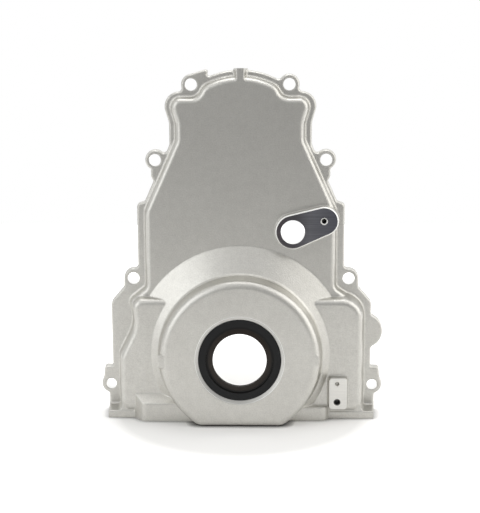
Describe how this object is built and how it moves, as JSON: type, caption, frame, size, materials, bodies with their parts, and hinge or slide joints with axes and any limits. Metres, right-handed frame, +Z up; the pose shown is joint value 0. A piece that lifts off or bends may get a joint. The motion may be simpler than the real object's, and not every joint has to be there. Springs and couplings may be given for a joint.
{
  "type": "timing cover",
  "caption": "Cast aluminium engine timing cover with a round seal boss, a crankshaft seal, a bolted flange and a camshaft sensor pad.",
  "frame": {"origin": "on the crankshaft's axis, in the plane of the gasket face", "axes": "+X to the right seen from the front, +Z up the cover, the front faces -Y"},
  "size_m": [0.2455, 0.0534, 0.297],
  "materials": {
    "cast_aluminium": "as cast, fine grain, machined faces",
    "seal_steel": "pressed sheet and drawn wire",
    "seal_rubber": "moulded, satin"
  },
  "bodies": {
    "root": {"cover_casting": "cast_aluminium", "crank_seal_case": "seal_steel", "crank_seal_rubber": "seal_rubber", "garter_spring": "seal_steel"}
  },
  "joints": []
}
